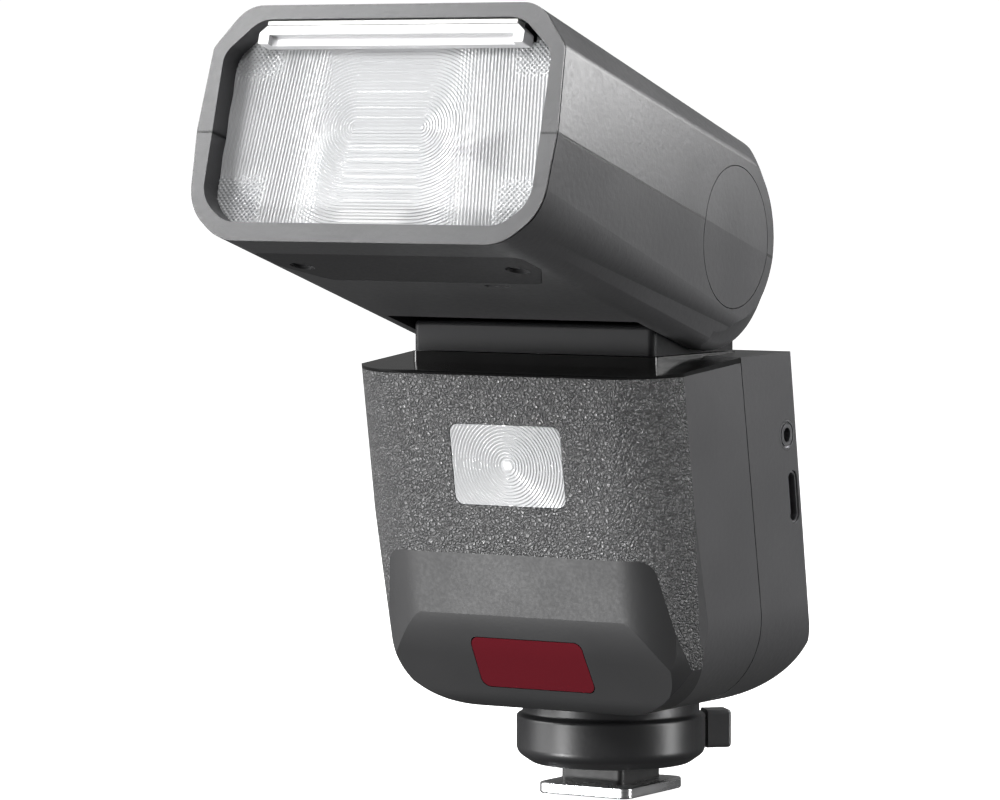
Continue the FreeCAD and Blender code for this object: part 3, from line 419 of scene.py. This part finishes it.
def lens_material():
    """Clear plastic given a milky white base as painted light from the reflector behind it, with random streaks, a
    painted dark reflection fan on one side and a painted bright reflection patch low in the middle.
    """
    s = Shader("lens_white_painted_reflection", Transmission_Weight=0.3, IOR=1.49)
    haze = s.noise(45.0, 3.0)
    streak = s.noise(30.0, 2.0, stretch=(1.0, 1.0, 6.0))
    # Painted light: the milky white base stands in for the lit reflector seen through the clear lens; haze and
    # streaks are random tone.
    shade = s.mix(haze, (0.5, 0.51, 0.52), (0.68, 0.68, 0.69))
    shade = s.mix(s.span(streak, 0.35, 0.7, 0.0, 0.35), shade, (0.45, 0.46, 0.47))
    across, up = s.axis("X"), s.axis("Z")
    # Painted reflection: a dark fan of the reflector, painted into the lens colour.
    painted_fan_half = s.math("MULTIPLY", s.math("SUBTRACT", across, PAINTED_REFLECTION_FAN_TIP), PAINTED_REFLECTION_FAN_SPREAD)
    from_painted_fan = s.math("ABSOLUTE", s.math("SUBTRACT", up, PAINTED_REFLECTION_FAN_HEIGHT))
    painted_dark_fan = s.math("MULTIPLY", s.span(s.math("SUBTRACT", painted_fan_half, from_painted_fan), *PAINTED_REFLECTION_FAN_EDGE, smooth=True),
                 s.span(across, *PAINTED_REFLECTION_FAN_END, 1.0, 0.0))
    shade = s.mix(s.math("MULTIPLY", painted_dark_fan, 0.45), shade, (0.25, 0.25, 0.26))
    # Painted reflection: a bright patch of the reflector, painted into the lens colour.
    from_painted_patch_middle = s.math("ABSOLUTE", s.math("SUBTRACT", across, PAINTED_REFLECTION_PATCH_MIDDLE))
    painted_bright_patch = s.math("MULTIPLY", s.span(up, *PAINTED_REFLECTION_PATCH_TOP), s.span(from_painted_patch_middle, *PAINTED_REFLECTION_PATCH_HALF, 1.0, 0.0))
    shade = s.mix(s.math("MULTIPLY", painted_bright_patch, 0.5), shade, (0.98, 0.98, 0.98))
    return s.set(Base_Color=shade, Roughness=s.span(haze, 0.3, 0.7, 0.08, 0.16))


def build_flash_lens():
    """The ribbed flash window; its top is notched for the wide panel."""
    low, high = local_extent("flash_lens", HEAD)
    bottom, top = low.z / MM, high.z / MM
    width = rounded_half_width(high.x / MM, bottom, top, LENS_LOW_CORNER, LENS_HIGH_CORNER)
    front = Matrix.Translation(Vector((0, low.y + LENS_RECESS * MM, 0)))
    piece = relief_plate("flash_lens_ribbed", lambda x, z: z < LENS_NOTCH or abs(x) > NOTCH_HALF, width, bottom, top,
                         (high.y - low.y) / MM - LENS_RECESS, flash_relief, LENS_STEP, HEAD @ front)
    piece.data.materials.append(lens_material())
    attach(piece, "head")
    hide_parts("flash_lens")


LAMP_STEP = 0.12
LAMP_RECESS = 0.15
LAMP_BACK = 0.05
LAMP_CORNER = (1.6, 1.6)
LAMP_DOME = 1.2
LAMP_PITCH = 0.58
LAMP_DEPTH = 0.14


def lamp_relief(x, z):
    """A small dome in the middle with fresnel rings around it."""
    ring = math.hypot(x, z)
    if ring < LAMP_DOME:
        return LAMP_DEPTH * (1.0 - (ring / LAMP_DOME) ** 2 * 0.5)
    return LAMP_DEPTH * saw((ring - LAMP_DOME) / LAMP_PITCH)


def build_lamp_lens():
    """The ringed window of the front lamp."""
    matrix = node_frame("lamp_lens", lamp_normal())
    low, high = local_extent("lamp_lens", matrix)
    bottom, top = low.z / MM, high.z / MM
    width = rounded_half_width(high.x / MM, bottom, top, LAMP_CORNER, LAMP_CORNER)
    front = Matrix.Translation(Vector((0, low.y + LAMP_RECESS * MM, 0)))
    piece = relief_plate("lamp_lens_ribbed", lambda x, z: True, width, bottom, top,
                         (high.y - low.y) / MM - LAMP_RECESS - LAMP_BACK, lamp_relief, LAMP_STEP, matrix @ front)
    s = Shader("lamp_white", Transmission_Weight=0.25, IOR=1.49)
    haze = s.noise(60.0, 3.0)
    piece.data.materials.append(s.set(Base_Color=s.mix(haze, (0.56, 0.57, 0.58), (0.72, 0.72, 0.73)),
                                      Roughness=s.span(haze, 0.3, 0.7, 0.08, 0.15)))
    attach(piece, "root")
    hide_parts("lamp_lens")


def lamp_normal():
    """Outward normal of the leaning front face, from the widest flat face of the lamp lens."""
    best = max(NODES["lamp_lens"].data.polygons, key=lambda p: p.area * (p.normal.y < 0))
    return best.normal.copy()


# ---------------------------------------------------------------- parting line of the head
TONGUE_INSET = 0.5 * MM
TONGUE_ROOT = 0.1 * MM
TONGUE_HEIGHT = 0.5 * MM


def build_seam_tongue():
    """A tongue on the lower shell's rim, so that no light passes through the head's parting line."""
    up = HEAD.to_3x3() @ Vector((0, 0, 1))
    mesh = bmesh.new()
    mesh.from_mesh(NODES["head_lower_shell"].data)
    mesh.normal_update()
    level = [f for f in mesh.faces if f.normal.dot(up) > 0.999]
    height = max(f.calc_center_median().dot(up) for f in level)
    rim = {f for f in level if height - f.calc_center_median().dot(up) < 0.02 * MM}
    bmesh.ops.delete(mesh, geom=[f for f in mesh.faces if f not in rim], context="FACES")
    bmesh.ops.remove_doubles(mesh, verts=mesh.verts, dist=0.001 * MM)
    margin = bmesh.ops.inset_region(mesh, faces=mesh.faces[:], thickness=TONGUE_INSET, use_even_offset=False)
    bmesh.ops.delete(mesh, geom=margin["faces"], context="FACES")
    bmesh.ops.translate(mesh, verts=mesh.verts, vec=-up * TONGUE_ROOT)
    grown = bmesh.ops.extrude_face_region(mesh, geom=mesh.faces[:], use_keep_orig=True)["geom"]
    crest = [g for g in grown if isinstance(g, bmesh.types.BMVert)]
    bmesh.ops.translate(mesh, verts=crest, vec=up * TONGUE_HEIGHT)
    bmesh.ops.recalc_face_normals(mesh, faces=mesh.faces)
    data = bpy.data.meshes.new("seam_tongue")
    mesh.to_mesh(data)
    mesh.free()
    piece = bpy.data.objects.new("seam_tongue", data)
    bpy.context.collection.objects.link(piece)
    data.materials.append(MATERIALS["black_plastic"])
    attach(piece, "head")


# ---------------------------------------------------------------- stage, lights, camera
FLOOR_RADIUS = 12.0
FLOOR_SIDES = 96
FLOOR_GLOW = 0.93


def build_stage():
    """A round white floor at the foot's sole; it glows, and casts no light or shadow on the object."""
    level = CAD_BOX[0][2]
    mesh = bmesh.new()
    centre = mesh.verts.new((0, 0, level))
    rim = []
    for k in range(FLOOR_SIDES):
        angle = 2 * math.pi * k / FLOOR_SIDES
        rim.append(mesh.verts.new((FLOOR_RADIUS * math.cos(angle), FLOOR_RADIUS * math.sin(angle), level)))
    for k in range(FLOOR_SIDES):
        mesh.faces.new((centre, rim[k], rim[(k + 1) % FLOOR_SIDES]))
    data = bpy.data.meshes.new("floor")
    mesh.to_mesh(data)
    mesh.free()
    floor = bpy.data.objects.new("floor", data)
    bpy.context.collection.objects.link(floor)
    s = Shader("floor_white")
    cloud = s.noise(3.0)
    floor.data.materials.append(s.set(Base_Color=s.mix(cloud, (0.88, 0.88, 0.88), (0.92, 0.92, 0.92)),
                                      Roughness=s.span(cloud, 0.3, 0.7, 0.85, 0.95),
                                      Emission_Color=(1.0, 1.0, 1.0), Emission_Strength=FLOOR_GLOW))
    floor.visible_diffuse = False
    floor.visible_glossy = False
    floor.visible_shadow = False


BACKDROP_STRENGTH = 1.3
ROOM_LOW = (0.35, 0.06)
ROOM_HIGH = (0.9, 0.25)


def build_world():
    """A dim room, brighter overhead, that lights the object; the backdrop behind it is plain white."""
    world = bpy.data.worlds.new("studio")
    world.use_nodes = True
    bpy.context.scene.world = world
    tree = world.node_tree
    tree.nodes.clear()
    out = tree.nodes.new("ShaderNodeOutputWorld")
    seen = tree.nodes.new("ShaderNodeBackground")
    seen.inputs["Strength"].default_value = BACKDROP_STRENGTH
    room = tree.nodes.new("ShaderNodeBackground")
    ramp = tree.nodes.new("ShaderNodeValToRGB")
    for element, (position, grey) in zip(ramp.color_ramp.elements, (ROOM_LOW, ROOM_HIGH)):
        element.position = position
        element.color = (grey, grey, grey, 1)
    place = tree.nodes.new("ShaderNodeTexCoord")
    split = tree.nodes.new("ShaderNodeSeparateXYZ")
    scale = tree.nodes.new("ShaderNodeMapRange")
    scale.inputs["From Min"].default_value = -1.0
    path = tree.nodes.new("ShaderNodeLightPath")
    mix = tree.nodes.new("ShaderNodeMixShader")
    links = tree.links
    links.new(place.outputs["Generated"], split.inputs[0])
    links.new(split.outputs["Z"], scale.inputs["Value"])
    links.new(scale.outputs["Result"], ramp.inputs["Fac"])
    links.new(ramp.outputs["Color"], room.inputs["Color"])
    links.new(path.outputs["Is Camera Ray"], mix.inputs["Fac"])
    links.new(room.outputs[0], mix.inputs[1])
    links.new(seen.outputs[0], mix.inputs[2])
    links.new(mix.outputs[0], out.inputs["Surface"])


def around(azimuth, elevation, distance, aim):
    """A place seen from the aim: azimuth from the front towards the right, in degrees."""
    azimuth, elevation = math.radians(azimuth), math.radians(elevation)
    return aim + distance * Vector((math.sin(azimuth) * math.cos(elevation),
                                    -math.cos(azimuth) * math.cos(elevation), math.sin(elevation)))


def softbox(name, azimuth, elevation, distance, size, power, aim):
    """A rectangular studio light that faces the aim."""
    light = bpy.data.lights.new(name, "AREA")
    light.shape = "RECTANGLE"
    light.size, light.size_y = size
    light.energy = power
    lamp = bpy.data.objects.new(name, light)
    bpy.context.collection.objects.link(lamp)
    lamp.location = around(azimuth, elevation, distance, aim)
    lamp.rotation_euler = (aim - lamp.location).to_track_quat("-Z", "Y").to_euler()
    lamp.visible_camera = False


BODY_AIM = Vector((0, -0.015, 0.05))
HEAD_AIM = Vector((0.034, -0.05, 0.11))


def build_lights():
    """Azimuth and elevation in degrees, then metres, width and height, watts."""
    softbox("key_left", -62, 10, 0.9, (0.35, 0.5), 8.0, BODY_AIM)
    softbox("low_front", -32, -19, 0.85, (0.2, 0.14), 5.5, BODY_AIM)
    softbox("high_front", -52, 32, 0.9, (0.25, 0.25), 5.5, HEAD_AIM)
    softbox("fill_front", 6, 38, 0.9, (0.3, 0.2), 2.5, HEAD_AIM)
    softbox("side_right", 147, 21, 0.22, (0.1, 0.13), 0.45, HEAD_AIM)
    softbox("rim_right", 108, 0, 0.8, (0.12, 0.5), 4.5, BODY_AIM)
    softbox("top", -20, 75, 1.0, (0.6, 0.6), 5.0, HEAD_AIM)


CAMERA_AZIMUTH = 31.4
CAMERA_ELEVATION = 3.27
CAMERA_DISTANCE = 0.9195
CAMERA_TARGET = Vector((-0.02306, 0.0, 0.06869))
CAMERA_LENS = 184.65
CAMERA_SENSOR = 36.0


def build_camera():
    """A long lens, level with the middle of the object, to the right of its front."""
    data = bpy.data.cameras.new("camera")
    data.lens = CAMERA_LENS
    data.sensor_width = CAMERA_SENSOR
    camera = bpy.data.objects.new("camera", data)
    bpy.context.collection.objects.link(camera)
    camera.location = around(CAMERA_AZIMUTH, CAMERA_ELEVATION, CAMERA_DISTANCE, CAMERA_TARGET)
    camera.rotation_euler = (CAMERA_TARGET - camera.location).to_track_quat("-Z", "Y").to_euler()
    bpy.context.scene.camera = camera


finish_nodes()
build_flash_lens()
build_lamp_lens()
build_seam_tongue()
build_stage()
build_world()
build_lights()
build_camera()
bpy.context.scene.view_settings.view_transform = "Standard"
